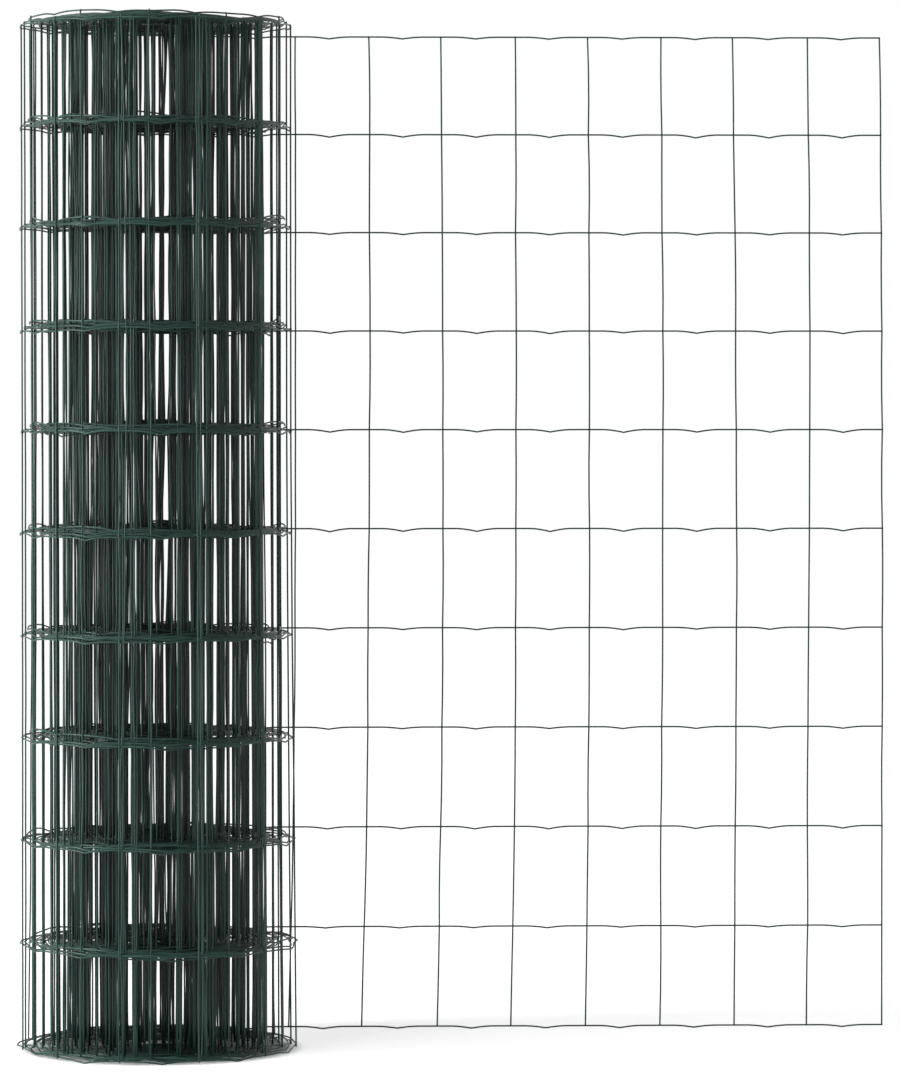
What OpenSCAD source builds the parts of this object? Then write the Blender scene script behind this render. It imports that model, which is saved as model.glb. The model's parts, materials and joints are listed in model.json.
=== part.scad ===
// Roll of welded wire fencing, standing on its end, with its outer end unrolled flat.
// The roll's axis is +Z, the origin lies on that axis at the floor, and the free end runs
// off along +X from the back of the roll. All sizes are in millimetres.

/* [Mesh] */
// Diameter of the coated wire
wire_d = 1.6; // [1.2:0.1:2.2]
// Spacing of the line wires, the height of a cell
cell_h = 100; // [50:5:150]
// Number of cells from the bottom edge to the top edge
rows = 10; // [4:1:18]
// Spacing of the cross wires, the width of a cell once its line wires are crimped
cell_w = 74.2; // [40:0.2:110]
// Depth of the crimp at the middle of each cell
crimp_depth = 2.3; // [1:0.1:5]
// Length of a crimp along its line wire
crimp_l = 32; // [20:1:36]
// How far a cross wire is pressed into a line wire at a weld
weld_sink = 0.4; // [0.2:0.05:0.6]

/* [Roll] */
// Outer diameter of the roll
roll_d = 270; // [200:2:400]
// Diameter of the hollow middle
bore_d = 36; // [30:2:80]
// Number of turns wound up
turns = 52; // [10:1:54]
// Share of a wire by which the outer turn stands proud of the body of turns inside it
proud_share = 0.5; // [0.3:0.05:0.7]

/* [Free end] */
// Distance from the roll's axis to the first cross wire that has left the roll
first_wire_x = 59; // [40:1:70]
// Number of cross wires in the free end
free_wires = 10; // [2:1:20]

/* [Hidden] */

// Dark green of the wire's plastic coat
coat_colour = [0.09, 0.25, 0.2];
// Number of straight steps in a crimp, and of flat sides round a cross wire
crimp_steps = 6;
wire_sides = 8;

// Height of the band that a crimped line wire takes up
band_h = wire_d + crimp_depth;
total_h = rows * cell_h + band_h;
roll_r = roll_d / 2;
bore_r = bore_d / 2;
// Radius of the body that stands for the turns inside the outer one
body_r = roll_r - wire_d * proud_share;
turn_pitch = (roll_r - bore_r - wire_d) / (turns - 1);

// Half width across the flats of a cross wire
flat_r = wire_d / 2 * cos(180 / wire_sides);
// Radius at which the outer turn's cross wires stand, welded to the outside of its line wires
outer_wire_r = roll_r + flat_r - weld_sink;
// Arc from the tangent point back to the nearest cross wire that is still on the roll
first_arc = cell_w * ceil(first_wire_x / cell_w) - first_wire_x;
// Arc that these wires keep clear of the free end, where it starts and where it passes over them
start_clear = 2 * wire_d;
end_clear = start_clear + roll_r * acos(roll_r / (outer_wire_r + flat_r)) * PI / 180;
outer_arcs = [
    for (cell = [0 : floor(PI * roll_d / cell_w)])
        let (arc = first_arc + cell * cell_w)
            if (arc > start_clear && arc < PI * roll_d - end_clear) arc
];

// The free end lies along the back of the roll, its cross wires on the far side
line_back_y = roll_r + wire_d;
cross_y = line_back_y + flat_r - weld_sink;
// The line wires reach just past the tangent point, and end level with the last cross wire
free_start_x = -wire_d;
free_end_x = first_wire_x + (free_wires - 1) * cell_w + flat_r;
// Middle of each crimp of the free end, one for each cell that has left the roll
crimp_mids = [
    for (cell = [0 : free_wires - 1])
        let (mid = first_wire_x + (cell - 0.5) * cell_w)
            if (mid - crimp_l / 2 > free_start_x) mid
];

// Height of the underside of the band at a level, counted from the bottom edge
function level_z(level) = level * cell_h;

// Drop of a line wire below its straight run, at a distance from the middle of a crimp
function crimp_drop(away) = crimp_depth * (1 + cos(360 * away / crimp_l)) / 2;

// Points along a crimped line wire, from the roll to the free edge
function line_path() = concat(
    [[free_start_x, 0]],
    [
        for (mid = crimp_mids, step = [0 : crimp_steps])
            let (away = crimp_l * (step / crimp_steps - 0.5))
                [mid + away, -crimp_drop(away)]
    ],
    [[free_end_x, 0]]
);

// The same points in the other order, raised to the wire's upper side
function upper_side(path) = [
    for (i = [len(path) - 1 : -1 : 0])
        path[i] + [0, wire_d]
];

// One ring of the outline that is turned, at a radius and a height
module ring_section(radius, bottom) {
    translate([radius, bottom])
        square([wire_d, band_h]);
}

// One straight cross wire from edge to edge, with a flat side to the line wires it is welded to
module cross_wire() {
    rotate(180 / wire_sides)
        cylinder(h = total_h - crimp_depth, d = wire_d, $fn = wire_sides);
}

// The turned body: its turns stand out of both ends, and the line wires of the outer turn
// stand proud round its side
module turned_body() {
    rotate_extrude($fn = 180) {
        translate([bore_r, band_h])
            square([body_r - bore_r, total_h - 2 * band_h]);
        for (turn = [0 : turns - 1], bottom = [0, total_h - band_h])
            ring_section(bore_r + turn * turn_pitch, bottom);
        for (level = [1 : rows - 1])
            ring_section(roll_r - wire_d, level_z(level));
    }
}

// The roll: the turned body with its hollow middle, and the cross wires of its outer turn
module wound_roll() {
    color(coat_colour) {
        turned_body();
        for (arc = outer_arcs)
            rotate(90 + arc / roll_r * 180 / PI)
                translate([outer_wire_r, 0, crimp_depth])
                    cross_wire();
    }
}

// One crimped line wire of the free end, with the underside of its straight run at z = 0
module line_wire() {
    path = line_path();
    translate([0, line_back_y, 0])
        rotate([90, 0, 0])
            linear_extrude(wire_d)
                polygon(concat(path, upper_side(path)));
}

// The free end: a flat sheet of crimped line wires, with cross wires welded to their far side
module free_end() {
    color(coat_colour)
        translate([0, 0, crimp_depth]) {
            for (level = [0 : rows])
                translate([0, 0, level_z(level)])
                    line_wire();
            for (wire = [0 : free_wires - 1])
                translate([first_wire_x + wire * cell_w, cross_y, 0])
                    cross_wire();
        }
}

wound_roll();
free_end();
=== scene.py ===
"""Looks of a roll of welded wire fencing: each wire of the mesh is a round wire with a green coat.

The mesh is one long web. It is followed from its free edge, along the flat end to the back of the
roll, and on round the turns to the hollow middle. Lengths are in metres.
"""
import json
import math

import bpy
import numpy as np
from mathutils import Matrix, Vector


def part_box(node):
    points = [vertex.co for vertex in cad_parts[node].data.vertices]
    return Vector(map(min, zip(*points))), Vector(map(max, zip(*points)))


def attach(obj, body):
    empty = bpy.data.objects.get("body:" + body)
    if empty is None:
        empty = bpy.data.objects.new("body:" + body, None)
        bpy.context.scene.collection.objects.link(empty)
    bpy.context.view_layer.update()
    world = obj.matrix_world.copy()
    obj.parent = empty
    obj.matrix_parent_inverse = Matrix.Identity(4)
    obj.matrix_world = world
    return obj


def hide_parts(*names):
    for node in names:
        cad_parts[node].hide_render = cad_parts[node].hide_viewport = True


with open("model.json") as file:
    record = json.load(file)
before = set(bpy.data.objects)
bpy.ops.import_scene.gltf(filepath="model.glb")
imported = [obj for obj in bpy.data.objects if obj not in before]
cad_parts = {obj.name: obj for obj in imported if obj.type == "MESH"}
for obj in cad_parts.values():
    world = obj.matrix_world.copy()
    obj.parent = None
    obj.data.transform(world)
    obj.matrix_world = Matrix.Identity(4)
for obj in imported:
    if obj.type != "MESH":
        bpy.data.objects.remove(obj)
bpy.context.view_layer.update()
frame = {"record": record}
SEED = 27
rng = np.random.default_rng(SEED)
MM_PER_M = 1000

# Sizes of the mesh
WIRE_R = 0.0008
CELL_H = 0.100
CELL_W = 0.0742
ROWS = 10
WELD_SINK = 0.0004
# From the centre of a line wire out to that of a cross wire welded to it
CROSS_OUT = 2 * WIRE_R - WELD_SINK
# How far a cross wire runs past the centres of the lowest and the highest line wire
CROSS_END = WIRE_R * 0.6
# Radius of the swelling of the coat over a weld
BEAD_R = WIRE_R * 1.4

# Crimps: place as a share of the cell, reach to each side, depth at each level from the foot up
CRIMP_PLACE = 0.535
CRIMP_REACH = 0.020
CRIMP_DEPTHS = (0.0021, 0.0016, 0.0024, 0.0019, 0.0021, 0.0029, 0.0026, 0.0023, 0.0020, 0.0026, 0.0018)
# Power of the curve that a crimp's sides follow, and the share by which depths differ at one level
CRIMP_POWER = 1.6
CRIMP_SPREAD = 0.08
# How many times as deep the crimps are on the roll
WOUND_CRIMP = 1.1
# How far welds on the roll lie off their level, and how many times as far on its inner turns
WELD_SPREAD = 0.0008
INNER_SPREAD = 3.3

# Sizes of the free end, and where the solids put it
FREE_WIRES = 10
FIRST_WIRE_X = 0.059
FLAT_L = FIRST_WIRE_X + (FREE_WIRES - 1) * CELL_W
FLAT_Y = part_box("free_end")[0].y + WIRE_R
BORE_R = frame["record"]["mounts"][0]["dims"]["r_mm"] / MM_PER_M

# Sideways shift of the flat end: beside the roll, with what the foot has less of it, and at the free
# edge, with what the top has less of it
ROLL_SWAY = 0.0023
ROLL_SWAY_LOSS = 0.0103
EDGE_SWAY = 0.0009
EDGE_SWAY_LOSS = 0.0042
# Length of web on the roll over which this shift fades
SWAY_FADE = 5 * CELL_W
# Power that keeps a change close to the foot or the top
EDGE_POWER = 4

# Shape of the winding: loose outside, tight inside
TURNS = 52
OUTER_R = 0.1345
INNER_R = BORE_R + WIRE_R
LOOSE = 0.0095
LOOSE_TURNS = 2.5
TIGHT_PITCH = (OUTER_R - LOOSE - INNER_R) / TURNS
MARKS_PER_TURN = 200
# How far the flat end lies outside the roll, and the share of a turn in which the web closes on it
LIFT_OFF = FLAT_Y - OUTER_R
LIFT_OFF_TURN = 0.28
# Spread of the outer turns at the foot: its size, the share of the height and the turns that it takes
# in, the power of its curve, and its mean and its swing from left to right as shares of its size
FLARE = 0.0052
FLARE_RISE = 0.60
FLARE_TURNS = 6.0
FLARE_POWER = 1.2
FLARE_MEAN = 0.65
FLARE_SWING = 0.35
# Small bends of the web, outwards and upwards: shortest and longest wave, and usual size
OUTWARD_BENDS = (0.15, 0.6, 0.0006)
UPWARD_BENDS = (0.5, 1.6, 0.0010)
BEND_WAVES = 7
# Turns over which the outward bends and the spread set in
OUTWARD_TURNS = 0.25

# The turns inside the outer one stand higher and higher, one of them highest, and then lower again
STEP_UP = 0.0058
STEP_UP_FROM = 0.3
STEP_UP_TURNS = 2.0
HIGHEST = 0.0023
HIGHEST_TURN = 2.5
STEP_DOWN = 0.0014
STEP_DOWN_AFTER = 0.3
# Turns to each side over which the highest one keeps its height, and then as many in which it loses it
HIGHEST_SPAN = 1 / 3
# Turns past the highest one over which the upward bends set in
UPWARD_TURNS = 2
# Share of these heights that is lost where the turns sag, and the place and reach of that to the right
SAG = 0.4
SAG_PLACE = 0.6
SAG_REACH = 0.45
# Share of these heights that is left at the foot, where the turns rest on the floor
FOOT_SHARE = 0.35
# The springy mesh stands high in its middle, by a quarter of the first size, and low at its top edge
MIDDLE_EASE = 0.0135
TOP_EASE = 0.0027

# Gaps that stay open through the roll, seen from the front and listed one by one: first and last row from
# the top, place across the roll at each of the two, and width, in millimetres
SIGHT_GAPS = (
    # At the left edge
    (1, 10, -117.3, -116.5, 7.6), (1, 10, -109.3, -109, 4.2), (1, 10, -103.5, -101.5, 1.4),
    # In the left half
    (1, 4, -95.3, -95.3, 5.0), (5, 6, -94, -95, 2.6), (1, 4, -88, -87.5, 1.2),
    (7, 9, -91, -89, 2.0), (6, 7, -82.5, -82.5, 0.9), (2, 2, -71.5, -71.5, 0.8),
    (1, 4, -65.4, -66, 3.2), (7, 10, -64, -63, 1.0), (8, 10, -58.5, -58.5, 0.8),
    # About the middle
    (3, 4, -32, -32, 1.8), (6, 6, -28, -28, 0.9), (8, 10, -28, -28, 2.7),
    (1, 2, -18.8, -17.5, 1.2), (1, 4, -14.4, -13.5, 1.7), (1, 1, -6.5, -6.5, 2.4),
    (6, 6, -21.5, -21.5, 1.3), (9, 10, -19, -15.5, 1.2), (1, 4, 0, -0.5, 3.0),
    (5, 9, -3, -5, 2.4), (7, 7, -12.4, -12.4, 1.8), (10, 10, -0.5, -0.5, 3.5),
    (1, 1, 5, 5, 3.6), (1, 1, 10, 10, 3.4), (2, 4, 9.1, 8.8, 4.6),
    (5, 8, 7.5, 6, 2.9), (4, 6, 19, 15, 1.0), (9, 10, 13.5, 16.5, 1.7),
    (6, 8, 31, 32, 1.0), (10, 10, 24, 24, 1.2),
    # In the right half
    (4, 5, 44.5, 44.5, 1.3), (6, 8, 46.5, 46.5, 0.9), (1, 8, 57.5, 55, 2.0),
    (8, 8, 66, 66, 2.0), (1, 5, 70, 71, 1.5), (1, 1, 94, 94, 1.8),
    (6, 9, 70.5, 71.5, 1.3), (4, 5, 80.5, 80.5, 0.7), (4, 6, 86, 86, 0.9),
    (6, 9, 90, 91, 1.9), (10, 10, 85.5, 85.5, 0.9),
    # At the right edge
    (1, 2, 105.5, 105.5, 4.0), (3, 6, 107, 107.5, 7.2), (7, 10, 111.5, 113.5, 7.2),
    (1, 6, 115.3, 115.5, 3.2), (1, 10, 125, 125, 6.4),
)
# Share by which a gap's width changes from level to level
GAP_CHANGE = 0.25
# Costs of a wire's place: to stand in a gap, against 1 for each wire already in line, and to move farthest
GAP_WORTH = 9
MOVE_COST = 0.3
# Number of cross wires outside the inner turns, and how far the wound ones may move there and inside
OUTER_WIRES = 34
OUTER_MOVE = 0.003
INNER_MOVE = 0.014
# Number of places that are tried for each of these
MOVE_STEPS = 41
# Leans that an inner wire may choose from, besides their mirror images
LEAN_CHOICES = 3
# Places across the roll at which the light through it is counted
ACROSS_END = 0.145
ACROSS_STEP = 0.0002
ACROSS = np.arange(-ACROSS_END, ACROSS_END, ACROSS_STEP)

# Usual lean of a cross wire from weld to weld, small or larger, and the share of wires that have each
LEAN_SIZES = (0.0005, 0.0018)
LEAN_SHARES = (0.6, 0.4)
# Share of it that those outside the inner turns keep, and share of that which the flat end's keep
OUTER_LEAN = 0.5
FLAT_LEAN = 0.5
# How much more they lean at the levels near the edges of the web
EDGE_LEAN = 0.4
EDGE_LEVELS = np.array([1, 1] + [0] * (ROWS - 3) + [1, 1])
# How far they bow to the side between two welds
CROSS_BOW = 0.0006
# How far the line wires of the outer turns bow out between two welds, at the top and at the foot
LINE_BOW = 0.0008
FOOT_BOW = 0.0040
# Turns over which these bows set in, and turns until they are gone
BOW_FROM_TURNS = 0.2
BOW_TURNS = 9.0
# Shape of their spread, a gamma spread with a mean of 1
BOW_SHAPE = 2.0

# Detail of the tubes: shares of a crimp's reach and of a cell at which a line wire has a point
SIDES = 8
FLAT_BENDS = (-1, -0.7, -0.45, -0.25, -0.1, 0, 0.1, 0.25, 0.45, 0.7, 1)
WOUND_BENDS = (-1, -0.5, -0.2, 0, 0.2, 0.5, 1)
STRAIGHTS = (0, 0.13, 0.9)
NEAR_STRAIGHTS = (0, 0.06, 0.13, 0.2, 0.87, 0.94)
# Cells, counted from the free edge, up to which line wires on the roll have closer points
NEAR_CELLS = 45
# Levels at which a cross wire has a point, counted in cells from the foot up
CELL_STEPS = 3
STEPS = np.arange(ROWS * CELL_STEPS + 1) / CELL_STEPS
# Chamfer of a wire's cut end: its length and the radius it leaves, as shares of the wire's radius
CHAMFER_L = 0.4
CHAMFER_R = 0.6
# Rings of a bead: radius and place outwards, as shares of the bead's radius
BEAD_RINGS = ((0.75, 0.66), (1.0, 0.0), (0.75, -0.66))
BEAD_SEGMENTS = 6
# Number of cross wires that have beads, on the flat end and on the roll, from the outside in
BEADED_WIRES = 100

# Greens of the coat, each from darker to paler patches: darker ones as painted shade deep in the roll, and
# the coat's full green on the outer turns
PAINTED_SHADE_GREENS = ((0.0045, 0.016, 0.013), (0.0095, 0.031, 0.025))
OUTER_GREENS = ((0.0190, 0.058, 0.046), (0.0340, 0.086, 0.069))
SCUFF_COLOUR = (0.060, 0.100, 0.088)
# Distances from the roll's axis between which the coat goes from the painted shade to its full outer green
PAINTED_SHADE_RADII = (0.078, 0.122)
# Scale, detail and roughness of the noises that make the patches, the grain and the scuffs
PATCH_NOISE = (18, 3, 0.55)
GRAIN_NOISE = (420, 4, 0.65)
SCUFF_NOISE = (60, 5, 0.6)
# Stretch of each noise that is used
PATCH_RANGE = (0.35, 0.65)
GRAIN_RANGE = (0.3, 0.7)
SCUFF_RANGE = (0.6, 0.75)
# How strongly scuffs show, and the gloss and the grain of the coat
SCUFF_SHARES = (0, 0.25)
COAT_ROUGHNESS = (0.26, 0.40)
COAT_SPECULAR = 0.26
GRAIN_STRENGTH = 0.10
GRAIN_DEPTH = 0.0002

# The floor, with its glow for the rays that see it, between two distances from the roll's axis
FLOOR_SIZE = 60.0
FLOOR_TONES = ((0.90, 0.90, 0.90), (0.93, 0.93, 0.93))
FLOOR_NOISE = (3, 2, 0.55)
FLOOR_REACH = (0.3, 4.0)
FLOOR_GLOW = (0.77, 0.97)
# Share of that glow under the roll and beside it, between two distances from its axis: the small share
# under the roll leaves the floor there darker, as painted shade
UNDER_ROLL_SHADE_REACH = (OUTER_R * 0.92, OUTER_R * 1.07)
UNDER_ROLL_SHADE_GLOW = (0.1, 1)

# Light: strength of the world's, and place, width, height and power of each lamp
WHITE = (1, 1, 1, 1)
WORLD_LIGHT = 0.05
AIM = Vector((0.25, 0.0, 0.5))
LAMPS = {
    "key": ((-3.8, -1.1, 1.4), 0.9, 2.8, 196),
    "fill": ((3.4, -1.8, 1.8), 2.5, 2.5, 5),
    "top": ((-1.2, -1.4, 3.4), 1.2, 1.2, 34),
}

# Camera, from a fit to the photographed mesh: place in metres, angles in degrees, lens in millimetres
CAMERA_AT = (0.1444, -4.9648, 0.650)
CAMERA_YAW = 1.638
CAMERA_PITCH = -1.728
CAMERA_LENS = 169.26
SENSOR = 36.0


# The web's shape

def smooth(share):
    """Eases a share from 0 to 1."""
    share = np.clip(share, 0, 1)
    return share * share * (3 - 2 * share)


def fading(value, reach):
    """Falls evenly from 1, at a value of 0, to 0 at its reach."""
    return np.clip(1 - value / reach, 0, 1)


def winding_radius(turn):
    """Radius of the line wires' centres, at a number of turns from where the web meets the roll."""
    slack = LOOSE * (1 - np.exp(-turn / LOOSE_TURNS))
    coming_off = LIFT_OFF * fading(turn, LIFT_OFF_TURN) ** 2
    return OUTER_R - TIGHT_PITCH * turn - slack + coming_off


def measure_winding():
    """Turn numbers, and the length of web wound up at each of them."""
    turns = np.linspace(0, TURNS, TURNS * MARKS_PER_TURN)
    radius = winding_radius(turns)
    steps = np.hypot((radius[1:] + radius[:-1]) / 2 * np.diff(turns) * 2 * math.pi, np.diff(radius))
    return turns, np.concatenate([[0.0], np.cumsum(steps)])


TURN_MARKS, WOUND_MARKS = measure_winding()
WEB_L = FLAT_L + WOUND_MARKS[-1]
CROSS_WIRES = int(WEB_L / CELL_W)


def bends(shortest, longest, size):
    """A smooth random function of the distance along the web, with the given usual size."""
    lengths = rng.uniform(shortest, longest, BEND_WAVES)
    phases = rng.uniform(0, 2 * math.pi, BEND_WAVES)

    def value(along):
        waves = np.sin(2 * math.pi * np.multiply.outer(along, 1 / lengths) + phases)
        return size * waves.sum(-1) / math.sqrt(BEND_WAVES / 2)

    return value


outward_bend = bends(*OUTWARD_BENDS)
upward_bend = bends(*UPWARD_BENDS)


def turn_at(along):
    """Turns wound up at a distance along the web, 0 on the flat end."""
    return np.interp(along - FLAT_L, WOUND_MARKS, TURN_MARKS)


def cell_at(along):
    """Number of the cell at a distance along the web."""
    return np.clip(along // CELL_W, 0, CROSS_WIRES).astype(int)


def sway(share, rise):
    """Sideways shift of the flat end, by its shares of the way to the free edge and of the height."""
    near_roll = ROLL_SWAY - ROLL_SWAY_LOSS * (1 - rise) ** EDGE_POWER
    free_edge = EDGE_SWAY - EDGE_SWAY_LOSS * rise ** EDGE_POWER
    return near_roll + (free_edge - near_roll) * share


def flare(turn, angle, rise):
    """How far the outer turns spread outwards at the foot, most of all to the right."""
    size = FLARE * fading(rise, FLARE_RISE) ** FLARE_POWER * fading(turn, FLARE_TURNS)
    return size * (FLARE_MEAN + FLARE_SWING * np.cos(angle))


def web(along, rise):
    """Centre of the line wires and outward direction, at a distance along and a share of the height."""
    along, rise = np.broadcast_arrays(np.asarray(along, float), np.asarray(rise, float))
    share = np.clip((FLAT_L - along) / FLAT_L, 0, 1)
    fade = 1 - smooth((along - FLAT_L) / SWAY_FADE)
    moved = along - sway(share, rise) * fade
    turn = turn_at(moved)
    angle = math.pi / 2 + 2 * math.pi * turn
    uneven = smooth(turn / OUTWARD_TURNS) * (flare(turn, angle, rise) + outward_bend(moved))
    radius = winding_radius(turn) + uneven
    flat = np.minimum(moved - FLAT_L, 0)
    point = np.stack([radius * np.cos(angle) - flat, radius * np.sin(angle)], -1)
    outward = np.stack([np.cos(angle), np.sin(angle)], -1)
    return point, outward


def lift(along, rise):
    """How far the web stands above its lowest place, at a distance along it and a share of the height."""
    turn = turn_at(along)
    raised = STEP_UP * smooth((turn - STEP_UP_FROM) / STEP_UP_TURNS)
    raised -= STEP_DOWN * smooth(turn - HIGHEST_TURN - STEP_DOWN_AFTER)
    raised += np.maximum(upward_bend(along) * smooth((turn - HIGHEST_TURN) / UPWARD_TURNS), -raised)
    raised += HIGHEST * smooth(2 - abs(turn - HIGHEST_TURN) / HIGHEST_SPAN)
    to_right = -np.sin(2 * math.pi * turn)
    sag = SAG * smooth(1 - abs(to_right - SAG_PLACE) / SAG_REACH)
    return raised * (1 - sag) * (FOOT_SHARE + (1 - FOOT_SHARE) * rise)


def level_height(level):
    """Height of the straight runs of a line wire, at a level counted from the foot."""
    rise = level / ROWS
    ease = MIDDLE_EASE * rise * (1 - rise) - TOP_EASE * rise ** EDGE_POWER
    return WIRE_R + CRIMP_DEPTHS[0] + CELL_H * level + ease


# One number for each level and each cell of the web, or the weld where the cell starts
crimp_shares = rng.normal(1, CRIMP_SPREAD, (ROWS + 1, CROSS_WIRES + 1))
bow_shares = rng.gamma(BOW_SHAPE, 1 / BOW_SHAPE, (ROWS + 1, CROSS_WIRES + 1))
weld_shifts = rng.normal(0, WELD_SPREAD, (ROWS + 1, CROSS_WIRES + 1))
weld_shifts[:, :FREE_WIRES] = 0
weld_shifts[1:-1, OUTER_WIRES:] *= INNER_SPREAD


def line_height(along, level):
    """Height of the straight runs of the line wire at a level, at a distance along the web. The lowest
    one is shifted only upwards, because it stands on the floor."""
    shift = np.interp(along / CELL_W, np.arange(CROSS_WIRES + 1), weld_shifts[level])
    return level_height(level) + lift(along, level / ROWS) + (abs(shift) if level == 0 else shift)


def crimp_drop(along, level):
    """Drop of a line wire into its crimps, one in each cell, deeper on the roll. Those of the lowest
    one end at the floor."""
    cell = cell_at(along)
    away = abs(along - (cell + CRIMP_PLACE) * CELL_W)
    shape = fading(away, CRIMP_REACH) ** CRIMP_POWER
    wound = 1 - (1 - WOUND_CRIMP) * smooth(turn_at(along))
    drop = CRIMP_DEPTHS[level] * crimp_shares[level, cell] * shape * wound
    return np.minimum(drop, CRIMP_DEPTHS[0] + lift(along, 0)) if level == 0 else drop


def line_bow(along, level):
    """How far a line wire bows out between two welds, at a distance along the web."""
    cell = cell_at(along)
    turn = turn_at(along)
    loose = smooth(turn / BOW_FROM_TURNS) * fading(turn, BOW_TURNS)
    size = LINE_BOW + (FOOT_BOW - LINE_BOW) * (1 - level / ROWS) ** 2
    return size * bow_shares[level, cell] * loose * np.sin(math.pi * (along / CELL_W - cell)) ** 2


# The cross wires' places

def cross_wire_shifts(count):
    """Sideways shift of each cross wire at each of its steps up: it leans and bows from weld to weld,
    some wires more than the rest, and most of all near the edges of the web."""
    freedom = rng.choice(LEAN_SIZES, (count, 1), p=LEAN_SHARES)
    freedom[:OUTER_WIRES] *= OUTER_LEAN
    leans = rng.normal(0, freedom, (count, ROWS + 1)) * (1 + EDGE_LEAN * EDGE_LEVELS)
    leans = leans.cumsum(1)
    leans -= leans.mean(1, keepdims=True)
    bows = rng.normal(0, CROSS_BOW, (count, ROWS))
    cell = np.minimum(STEPS.astype(int), ROWS - 1)
    part = STEPS - cell
    straight = leans[:, cell] * (1 - part) + leans[:, cell + 1] * part
    return straight + bows[:, cell] * np.sin(math.pi * part)


def seen_across(plane):
    """Where the line of sight to a point crosses the upright plane through the roll's axis."""
    reach = CAMERA_AT[1] / (CAMERA_AT[1] - plane[..., 1])
    return CAMERA_AT[0] + (plane[..., 0] - CAMERA_AT[0]) * reach


def kept_open():
    """How much each place across the roll is kept clear, at each step up."""
    worth = np.zeros((len(STEPS), len(ACROSS)))
    down = ROWS - STEPS
    for first, last, start, end, width in SIGHT_GAPS:
        rows = (down > first - 1) & (down < last)
        middle = np.interp(down, (first - 0.5, last - 0.5), (start, end)) / MM_PER_M
        changes = np.interp(STEPS, range(ROWS + 1), rng.normal(1, GAP_CHANGE, ROWS + 1))
        half = width / (2 * MM_PER_M) * changes
        worth[rows[:, None] & (abs(ACROSS - middle[:, None]) < half[:, None])] = GAP_WORTH
    return worth


def lean_choices(shifts, wire):
    """Sideways shifts that a wound cross wire may take: its own, on the inner turns also those drawn
    for the next ones, and the mirror images of these."""
    last = wire + (1 if wire < OUTER_WIRES else LEAN_CHOICES)
    return np.concatenate([shifts[wire:last], -shifts[wire:last]])


def wound_wires(shifts):
    """Place along the web and sideways shifts of each wound cross wire, from the outermost in. Each is
    moved a little, and leans the one way or the other, out of the gaps that stay open, and to where the
    wires before it have left light through."""
    cover = kept_open()
    width = round(2 * WIRE_R / ACROSS_STEP)
    steps = np.arange(len(STEPS))
    settled = []
    for wire in range(FREE_WIRES, CROSS_WIRES):
        most = OUTER_MOVE if wire < OUTER_WIRES else INNER_MOVE
        moves = np.linspace(-most, most, MOVE_STEPS)
        choices = lean_choices(shifts, wire)
        leans = (moves[:, None, None] + choices).reshape(-1, len(STEPS))
        plane, outward = web(wire * CELL_W + leans, STEPS / ROWS)
        seen = seen_across(plane + outward * CROSS_OUT) - WIRE_R
        first = np.clip((seen - ACROSS[0]) / ACROSS_STEP, 0, len(ACROSS) - width - 1).astype(int)
        total = cover.cumsum(1)
        covered = (total[steps, first + width] - total[steps, first]).mean(1) / width
        cost = MOVE_COST * np.repeat(abs(moves), len(choices)) / most
        best = np.argmin(covered + cost)
        for step in steps:
            cover[step, first[best, step]:first[best, step] + width] += 1
        settled.append((wire * CELL_W, leans[best]))
    return settled


# Meshes

def unit(vectors):
    """The same directions, each with a length of 1."""
    return vectors / np.linalg.norm(vectors, axis=-1, keepdims=True)


def in_space(plane, heights):
    """Points or directions in the plane, with a height for each of them or one for all."""
    heights = np.broadcast_to(heights, len(plane))
    return np.concatenate([plane, heights[:, None]], -1)


def tube(path, outward):
    """Vertices and faces of a round wire along a path, with chamfered cut ends."""
    way = unit(np.gradient(path, axis=0))
    start = path[0] - way[0] * WIRE_R * CHAMFER_L
    end = path[-1] + way[-1] * WIRE_R * CHAMFER_L
    path = np.concatenate([[start], path, [end]])
    way = np.concatenate([way[:1], way, way[-1:]])
    outward = np.concatenate([outward[:1], outward, outward[-1:]])
    radii = np.full(len(path), WIRE_R)
    radii[[0, -1]] = WIRE_R * CHAMFER_R
    first = unit(outward - way * np.sum(outward * way, -1, keepdims=True))
    second = np.cross(way, first)
    turn = np.arange(SIDES) * 2 * math.pi / SIDES
    ring = first[:, None] * np.cos(turn)[None, :, None] + second[:, None] * np.sin(turn)[None, :, None]
    points = (path[:, None] + ring * radii[:, None, None]).reshape(-1, 3)
    row = np.arange(len(path) - 1)[:, None] * SIDES
    here = np.arange(SIDES)[None]
    following = (here + 1) % SIDES
    quads = np.stack([row + here, row + following, row + SIDES + following, row + SIDES + here], -1)
    last = (len(path) - 1) * SIDES
    caps = [list(range(SIDES))[::-1], list(range(last, last + SIDES))]
    return points, quads.reshape(-1, 4).tolist() + caps


def bead(centre, outward, across):
    """Vertices and faces of the small swelling of the coat over a weld."""
    points = [centre + outward * BEAD_R]
    for wide, out in BEAD_RINGS:
        for turn in np.arange(BEAD_SEGMENTS) * 2 * math.pi / BEAD_SEGMENTS:
            side = across * math.cos(turn) + np.array([0, 0, math.sin(turn)])
            points.append(centre + outward * BEAD_R * out + side * BEAD_R * wide)
    points.append(centre - outward * BEAD_R)
    faces = []
    last = len(points) - 1
    for i in range(BEAD_SEGMENTS):
        j = (i + 1) % BEAD_SEGMENTS
        faces.append([0, 1 + i, 1 + j])
        for ring in range(1, last - BEAD_SEGMENTS, BEAD_SEGMENTS):
            following = ring + BEAD_SEGMENTS
            faces.append([ring + i, following + i, following + j, ring + j])
        faces.append([last, last - BEAD_SEGMENTS + j, last - BEAD_SEGMENTS + i])
    return np.array(points), faces


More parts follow.
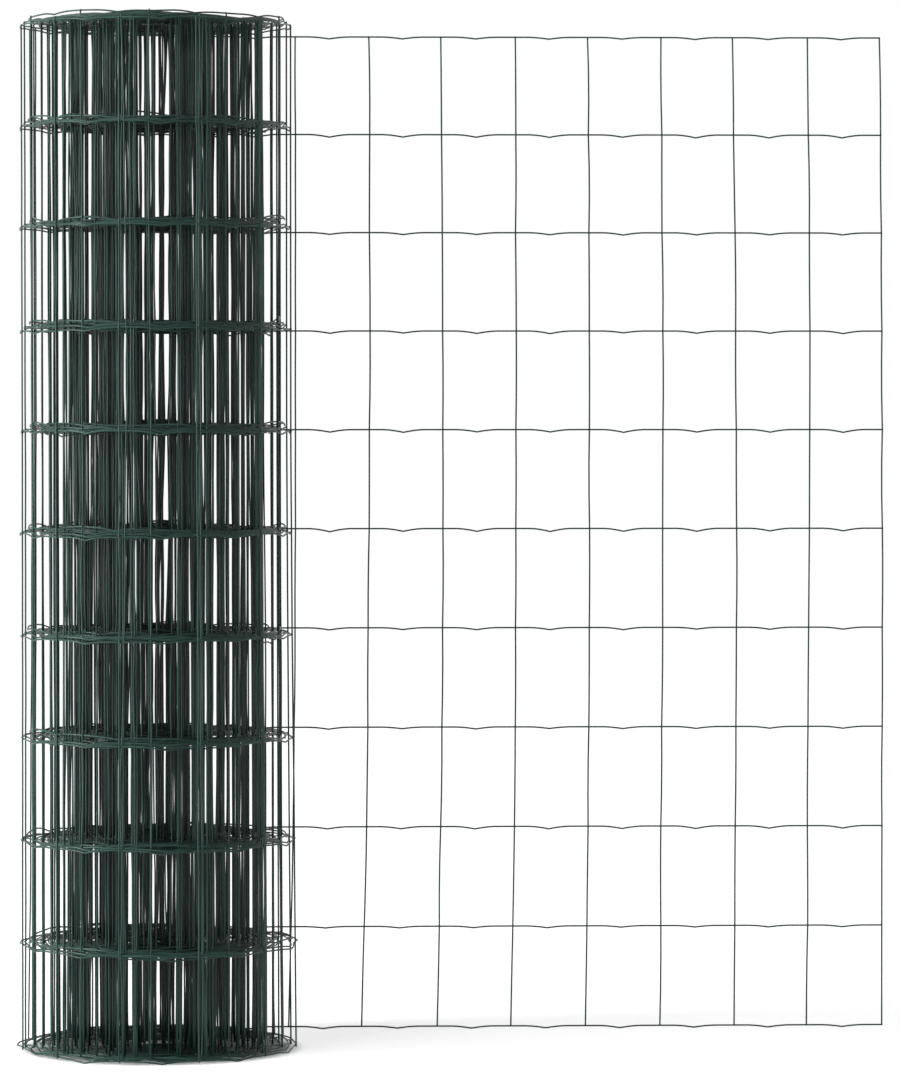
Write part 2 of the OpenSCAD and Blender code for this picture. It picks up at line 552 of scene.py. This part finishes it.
def joined(name, shapes):
    """One object from many shapes, shaded smooth."""
    points = []
    faces = []
    count = 0
    for shape_points, shape_faces in shapes:
        points.append(shape_points)
        faces.extend([[count + i for i in face] for face in shape_faces])
        count += len(shape_points)
    mesh = bpy.data.meshes.new(name)
    mesh.from_pydata(np.concatenate(points).tolist(), [], faces)
    mesh.polygons.foreach_set("use_smooth", [True] * len(mesh.polygons))
    mesh.update()
    piece = bpy.data.objects.new(name, mesh)
    bpy.context.scene.collection.objects.link(piece)
    return piece


def line_marks(cells, bend_shares, straights):
    """Distances along the web at which a line wire has points, in a run of cells."""
    crimp = CRIMP_PLACE + np.array(bend_shares) * CRIMP_REACH / CELL_W
    shares = np.sort(np.concatenate([straights, crimp]))
    return ((np.array(cells)[:, None] + shares) * CELL_W).ravel()


def line_wire(level):
    """One line wire, from the free edge to the innermost turn."""
    flat = line_marks(range(FREE_WIRES), FLAT_BENDS, STRAIGHTS)
    near = line_marks(range(FREE_WIRES, NEAR_CELLS), FLAT_BENDS, NEAR_STRAIGHTS)
    wound = line_marks(range(NEAR_CELLS, CROSS_WIRES - 1), WOUND_BENDS, STRAIGHTS)
    along = np.concatenate([flat, near, wound])
    plane, outward = web(along, level / ROWS)
    plane = plane + outward * line_bow(along, level)[:, None]
    heights = line_height(along, level) - crimp_drop(along, level)
    return tube(in_space(plane, heights), in_space(outward, 0))


def cross_wire(along, shifts):
    """One cross wire on the outer side of the line wires, from the foot to the top edge."""
    plane, outward = web(along + shifts, STEPS / ROWS)
    plane = plane + outward * CROSS_OUT
    heights = level_height(STEPS) + lift(along, STEPS / ROWS)
    heights[0] -= CROSS_END
    heights[-1] += CROSS_END
    return tube(in_space(plane, heights), in_space(outward, 0))


def weld_beads(along, shifts):
    """The beads where one cross wire is welded to the line wires."""
    levels = np.arange(ROWS + 1)
    plane, outward = web(along + shifts[::CELL_STEPS], levels / ROWS)
    heights = np.array([line_height(along, level) for level in levels])
    centres = in_space(plane + outward * CROSS_OUT / 2, heights)
    directions = in_space(outward, 0)
    across = np.stack([-directions[:, 1], directions[:, 0], directions[:, 2]], -1)
    return [bead(*weld) for weld in zip(centres, directions, across)]


# Materials

def nodes_of(owner):
    """The emptied node tree of a material or a world."""
    owner.use_nodes = True
    tree = owner.node_tree
    tree.nodes.clear()
    return tree


def add_node(tree, kind, **values):
    """A node with some of its settings and inputs given by name."""
    node = tree.nodes.new(kind)
    for name, value in values.items():
        if name in node.inputs:
            node.inputs[name].default_value = value
        else:
            setattr(node, name, value)
    return node


def show(tree, shader, kind="ShaderNodeOutputMaterial"):
    """Makes a shader's result the one that the tree gives out."""
    output = tree.nodes.new(kind)
    tree.links.new(shader, output.inputs["Surface"])


def noise(tree, place, scale, detail, roughness):
    """A value that changes at random from place to place."""
    node = add_node(tree, "ShaderNodeTexNoise", Scale=scale, Detail=detail, Roughness=roughness)
    tree.links.new(place, node.inputs["Vector"])
    return node.outputs["Fac"]


def spread(tree, value, old_range, new_range=(0, 1)):
    """Maps a value from one range to another, within its ends."""
    node = tree.nodes.new("ShaderNodeMapRange")
    tree.links.new(value, node.inputs["Value"])
    for name, number in zip(("From Min", "From Max", "To Min", "To Max"), (*old_range, *new_range)):
        node.inputs[name].default_value = number
    return node.outputs["Result"]


def combine(tree, operation, first, second):
    """The sum or the product of two shares, kept within 0 and 1."""
    node = add_node(tree, "ShaderNodeMath", operation=operation, use_clamp=True)
    tree.links.new(first, node.inputs[0])
    tree.links.new(second, node.inputs[1])
    return node.outputs[0]


def mix(tree, share, first, second):
    """A colour between two others. The node's colour sockets go by number, since their names repeat."""
    node = tree.nodes.new("ShaderNodeMix")
    node.data_type = "RGBA"
    tree.links.new(share, node.inputs["Factor"])
    for socket, colour in ((node.inputs[6], first), (node.inputs[7], second)):
        if isinstance(colour, tuple):
            socket.default_value = (*colour, 1)
        else:
            tree.links.new(colour, socket)
    return node.outputs[2]


def distance(tree, place):
    """Distance of a place from the origin."""
    length = add_node(tree, "ShaderNodeVectorMath", operation="LENGTH")
    tree.links.new(place, length.inputs[0])
    return length.outputs["Value"]


def from_axis(tree, place):
    """Distance of a place from the roll's axis."""
    level = add_node(tree, "ShaderNodeVectorMath", operation="MULTIPLY")
    tree.links.new(place, level.inputs[0])
    level.inputs[1].default_value = (1, 1, 0)
    return distance(tree, level.outputs["Vector"])


def coat_material():
    """Dark green satin plastic, a little uneven from the dip, with pale scuffs, and painted shade that
    darkens it towards the roll's middle: its full green is on the outer turns and the free end."""
    material = bpy.data.materials.new("coated_wire")
    tree = nodes_of(material)
    place = tree.nodes.new("ShaderNodeTexCoord").outputs["Object"]
    patches = spread(tree, noise(tree, place, *PATCH_NOISE), PATCH_RANGE)
    grain = noise(tree, place, *GRAIN_NOISE)
    scuffs = spread(tree, noise(tree, place, *SCUFF_NOISE), SCUFF_RANGE, SCUFF_SHARES)
    # Painted shade: the coat is darker the nearer it lies to the roll's axis, and full green outside
    outside_painted_shade = spread(tree, from_axis(tree, place), PAINTED_SHADE_RADII)
    painted_shade_green = mix(tree, patches, *PAINTED_SHADE_GREENS)
    outer_green = mix(tree, patches, *OUTER_GREENS)
    green = mix(tree, outside_painted_shade, painted_shade_green, outer_green)
    colour = mix(tree, scuffs, green, SCUFF_COLOUR)
    shader = tree.nodes.new("ShaderNodeBsdfPrincipled")
    tree.links.new(colour, shader.inputs["Base Color"])
    tree.links.new(spread(tree, grain, GRAIN_RANGE, COAT_ROUGHNESS), shader.inputs["Roughness"])
    shader.inputs["Specular IOR Level"].default_value = COAT_SPECULAR
    bump = add_node(tree, "ShaderNodeBump", Strength=GRAIN_STRENGTH, Distance=GRAIN_DEPTH)
    tree.links.new(grain, bump.inputs["Height"])
    tree.links.new(bump.outputs["Normal"], shader.inputs["Normal"])
    show(tree, shader.outputs["BSDF"])
    return material


def seen_rays(tree):
    """1 for the rays that should see a white background, and 0 for those that carry light."""
    path = tree.nodes.new("ShaderNodeLightPath")
    total = path.outputs["Is Camera Ray"]
    for name in ("Is Glossy Ray", "Is Transmission Ray"):
        total = combine(tree, "ADD", total, path.outputs[name])
    return total


def floor_material():
    """Pale floor that keeps the shadow, lifted to white for the rays that see it: more so where
    the lamps no longer reach, and hardly at all under the roll, which leaves painted shade there."""
    material = bpy.data.materials.new("pale_floor")
    tree = nodes_of(material)
    place = tree.nodes.new("ShaderNodeTexCoord").outputs["Object"]
    diffuse = tree.nodes.new("ShaderNodeBsdfDiffuse")
    tone = mix(tree, noise(tree, place, *FLOOR_NOISE), *FLOOR_TONES)
    tree.links.new(tone, diffuse.inputs["Color"])
    away = distance(tree, place)
    strength = spread(tree, away, FLOOR_REACH, FLOOR_GLOW)
    # Painted shade: little of the glow reaches the floor under the roll, so the floor there stays darker
    for share in (seen_rays(tree), spread(tree, away, UNDER_ROLL_SHADE_REACH, UNDER_ROLL_SHADE_GLOW)):
        strength = combine(tree, "MULTIPLY", strength, share)
    glow = tree.nodes.new("ShaderNodeEmission")
    tree.links.new(strength, glow.inputs["Strength"])
    total = tree.nodes.new("ShaderNodeAddShader")
    tree.links.new(diffuse.outputs["BSDF"], total.inputs[0])
    tree.links.new(glow.outputs["Emission"], total.inputs[1])
    show(tree, total.outputs["Shader"])
    return material


# The setting

def make_world():
    """Soft light from all round, in front of a background that is seen as white."""
    world = bpy.data.worlds.new("studio")
    bpy.context.scene.world = world
    tree = nodes_of(world)
    choice = tree.nodes.new("ShaderNodeMixShader")
    tree.links.new(seen_rays(tree), choice.inputs[0])
    for socket, strength in ((choice.inputs[1], WORLD_LIGHT), (choice.inputs[2], 1.0)):
        background = add_node(tree, "ShaderNodeBackground", Color=WHITE, Strength=strength)
        tree.links.new(background.outputs["Background"], socket)
    show(tree, choice.outputs["Shader"], "ShaderNodeOutputWorld")


def make_floor():
    """A wide level floor at the foot of the roll."""
    half = FLOOR_SIZE / 2
    corners = [(-half, -half, 0), (half, -half, 0), (half, half, 0), (-half, half, 0)]
    mesh = bpy.data.meshes.new("floor")
    mesh.from_pydata(corners, [], [(0, 1, 2, 3)])
    floor = bpy.data.objects.new("floor", mesh)
    floor.data.materials.append(floor_material())
    bpy.context.scene.collection.objects.link(floor)


def area_lamp(name, place, width, height, power):
    """A large soft lamp aimed at the middle of the object."""
    light = bpy.data.lights.new(name, "AREA")
    light.shape = "RECTANGLE"
    light.size = width
    light.size_y = height
    light.energy = power
    lamp = bpy.data.objects.new(name, light)
    lamp.location = place
    lamp.rotation_euler = (AIM - Vector(place)).to_track_quat("-Z", "Y").to_euler()
    bpy.context.scene.collection.objects.link(lamp)


def make_camera():
    """The camera, with the photograph's view."""
    data = bpy.data.cameras.new("camera")
    data.lens = CAMERA_LENS
    data.sensor_width = SENSOR
    camera = bpy.data.objects.new("camera", data)
    camera.location = CAMERA_AT
    camera.rotation_euler = (math.radians(90 + CAMERA_PITCH), 0, math.radians(-CAMERA_YAW))
    bpy.context.scene.collection.objects.link(camera)
    bpy.context.scene.camera = camera


# The object

def finish_piece(piece, material, *nodes):
    """Gives a piece its material and its place in the frame."""
    piece.data.materials.append(material)
    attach(piece, "root")
    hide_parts(*nodes)


def build():
    """The line wires, then the cross wires and beads of the flat end and of the roll."""
    coat = coat_material()
    for level in range(ROWS + 1):
        piece = joined(f"line_wire_{level + 1:02d}", [line_wire(level)])
        finish_piece(piece, coat, "wound_roll", "free_end")
    shifts = cross_wire_shifts(CROSS_WIRES)
    flat = [(wire * CELL_W, shifts[wire] * FLAT_LEAN) for wire in range(FREE_WIRES)]
    wound = wound_wires(shifts)
    for name, chosen, node in (("flat", flat, "free_end"), ("wound", wound, "wound_roll")):
        wires = joined(f"cross_wires_{name}", [cross_wire(*wire) for wire in chosen])
        finish_piece(wires, coat, node)
        welds = [weld for wire in chosen[:BEADED_WIRES] for weld in weld_beads(*wire)]
        beads = joined(f"weld_beads_{name}", welds)
        finish_piece(beads, coat, node)


build()
make_world()
make_floor()
for name, setting in LAMPS.items():
    area_lamp(name, *setting)
make_camera()
bpy.context.scene.view_settings.view_transform = "Standard"
